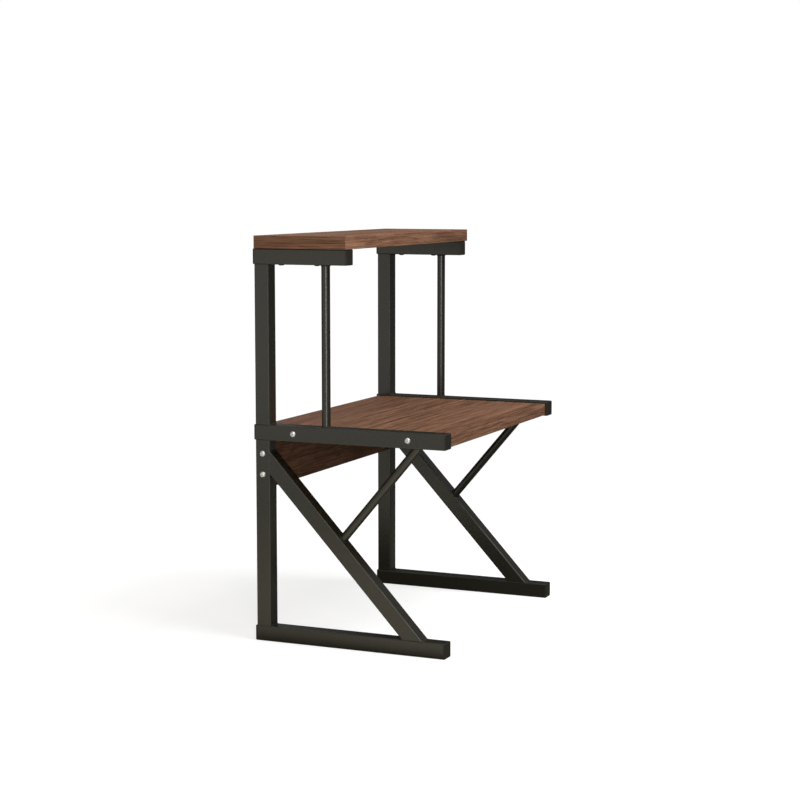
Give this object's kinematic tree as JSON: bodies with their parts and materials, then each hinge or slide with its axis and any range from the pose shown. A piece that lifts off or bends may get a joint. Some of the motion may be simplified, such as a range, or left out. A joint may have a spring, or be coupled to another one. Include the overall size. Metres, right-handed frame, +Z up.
{
  "type": "microwave rack",
  "caption": "Free-standing kitchen rack of welded black square tube with diagonal braces, a wood-look middle shelf, a half-depth top shelf and an open bay for a microwave below.",
  "frame": {"origin": "on the floor under the middle of the rack's outer box", "axes": "+Z up, -Y out of the open front, +X to the right seen from the front"},
  "size_m": [0.554, 0.356, 0.7035],
  "materials": {
    "powder_coat": "satin powder coat, near black with a faint olive tone",
    "cap_plastic": "fine moulded matt",
    "walnut_laminate": "satin walnut laminate, grain along the rack's width",
    "edge_strip": "satin walnut edge strip",
    "zinc_bolt": "bright zinc",
    "black_screw": "black zinc",
    "zinc_nut": "zinc"
  },
  "bodies": {
    "root": {"back_board": "walnut_laminate", "back_board_barrel_nuts": "zinc_nut", "back_board_edge_strip": "edge_strip", "left_back_board_bolts": "zinc_bolt", "left_base_front_cap": "cap_plastic", "left_base_rail": "powder_coat", "left_base_rear_cap": "cap_plastic", "left_diagonal_brace": "powder_coat", "left_front_rod": "powder_coat", "left_lower_upright": "powder_coat", "left_mid_front_cap": "cap_plastic", "left_mid_rail": "powder_coat", "left_mid_rear_cap": "cap_plastic", "left_shelf_bolts": "zinc_bolt", "left_strut": "powder_coat", "left_top_board_screws": "black_screw", "left_top_front_cap": "cap_plastic", "left_top_rail": "powder_coat", "left_top_rear_cap": "cap_plastic", "left_upper_upright": "powder_coat", "left_weld_beads": "powder_coat", "mid_board": "walnut_laminate", "mid_board_barrel_nuts": "zinc_nut", "mid_board_edge_strips": "edge_strip", "right_back_board_bolts": "zinc_bolt", "right_base_front_cap": "cap_plastic", "right_base_rail": "powder_coat", "right_base_rear_cap": "cap_plastic", "right_diagonal_brace": "powder_coat", "right_front_rod": "powder_coat", "right_lower_upright": "powder_coat", "right_mid_front_cap": "cap_plastic", "right_mid_rail": "powder_coat", "right_mid_rear_cap": "cap_plastic", "right_shelf_bolts": "zinc_bolt", "right_strut": "powder_coat", "right_top_board_screws": "black_screw", "right_top_front_cap": "cap_plastic", "right_top_rail": "powder_coat", "right_top_rear_cap": "cap_plastic", "right_upper_upright": "powder_coat", "right_weld_beads": "powder_coat", "top_board": "walnut_laminate", "top_board_edge_strips": "edge_strip", "top_board_threaded_inserts": "zinc_nut"}
  },
  "joints": []
}
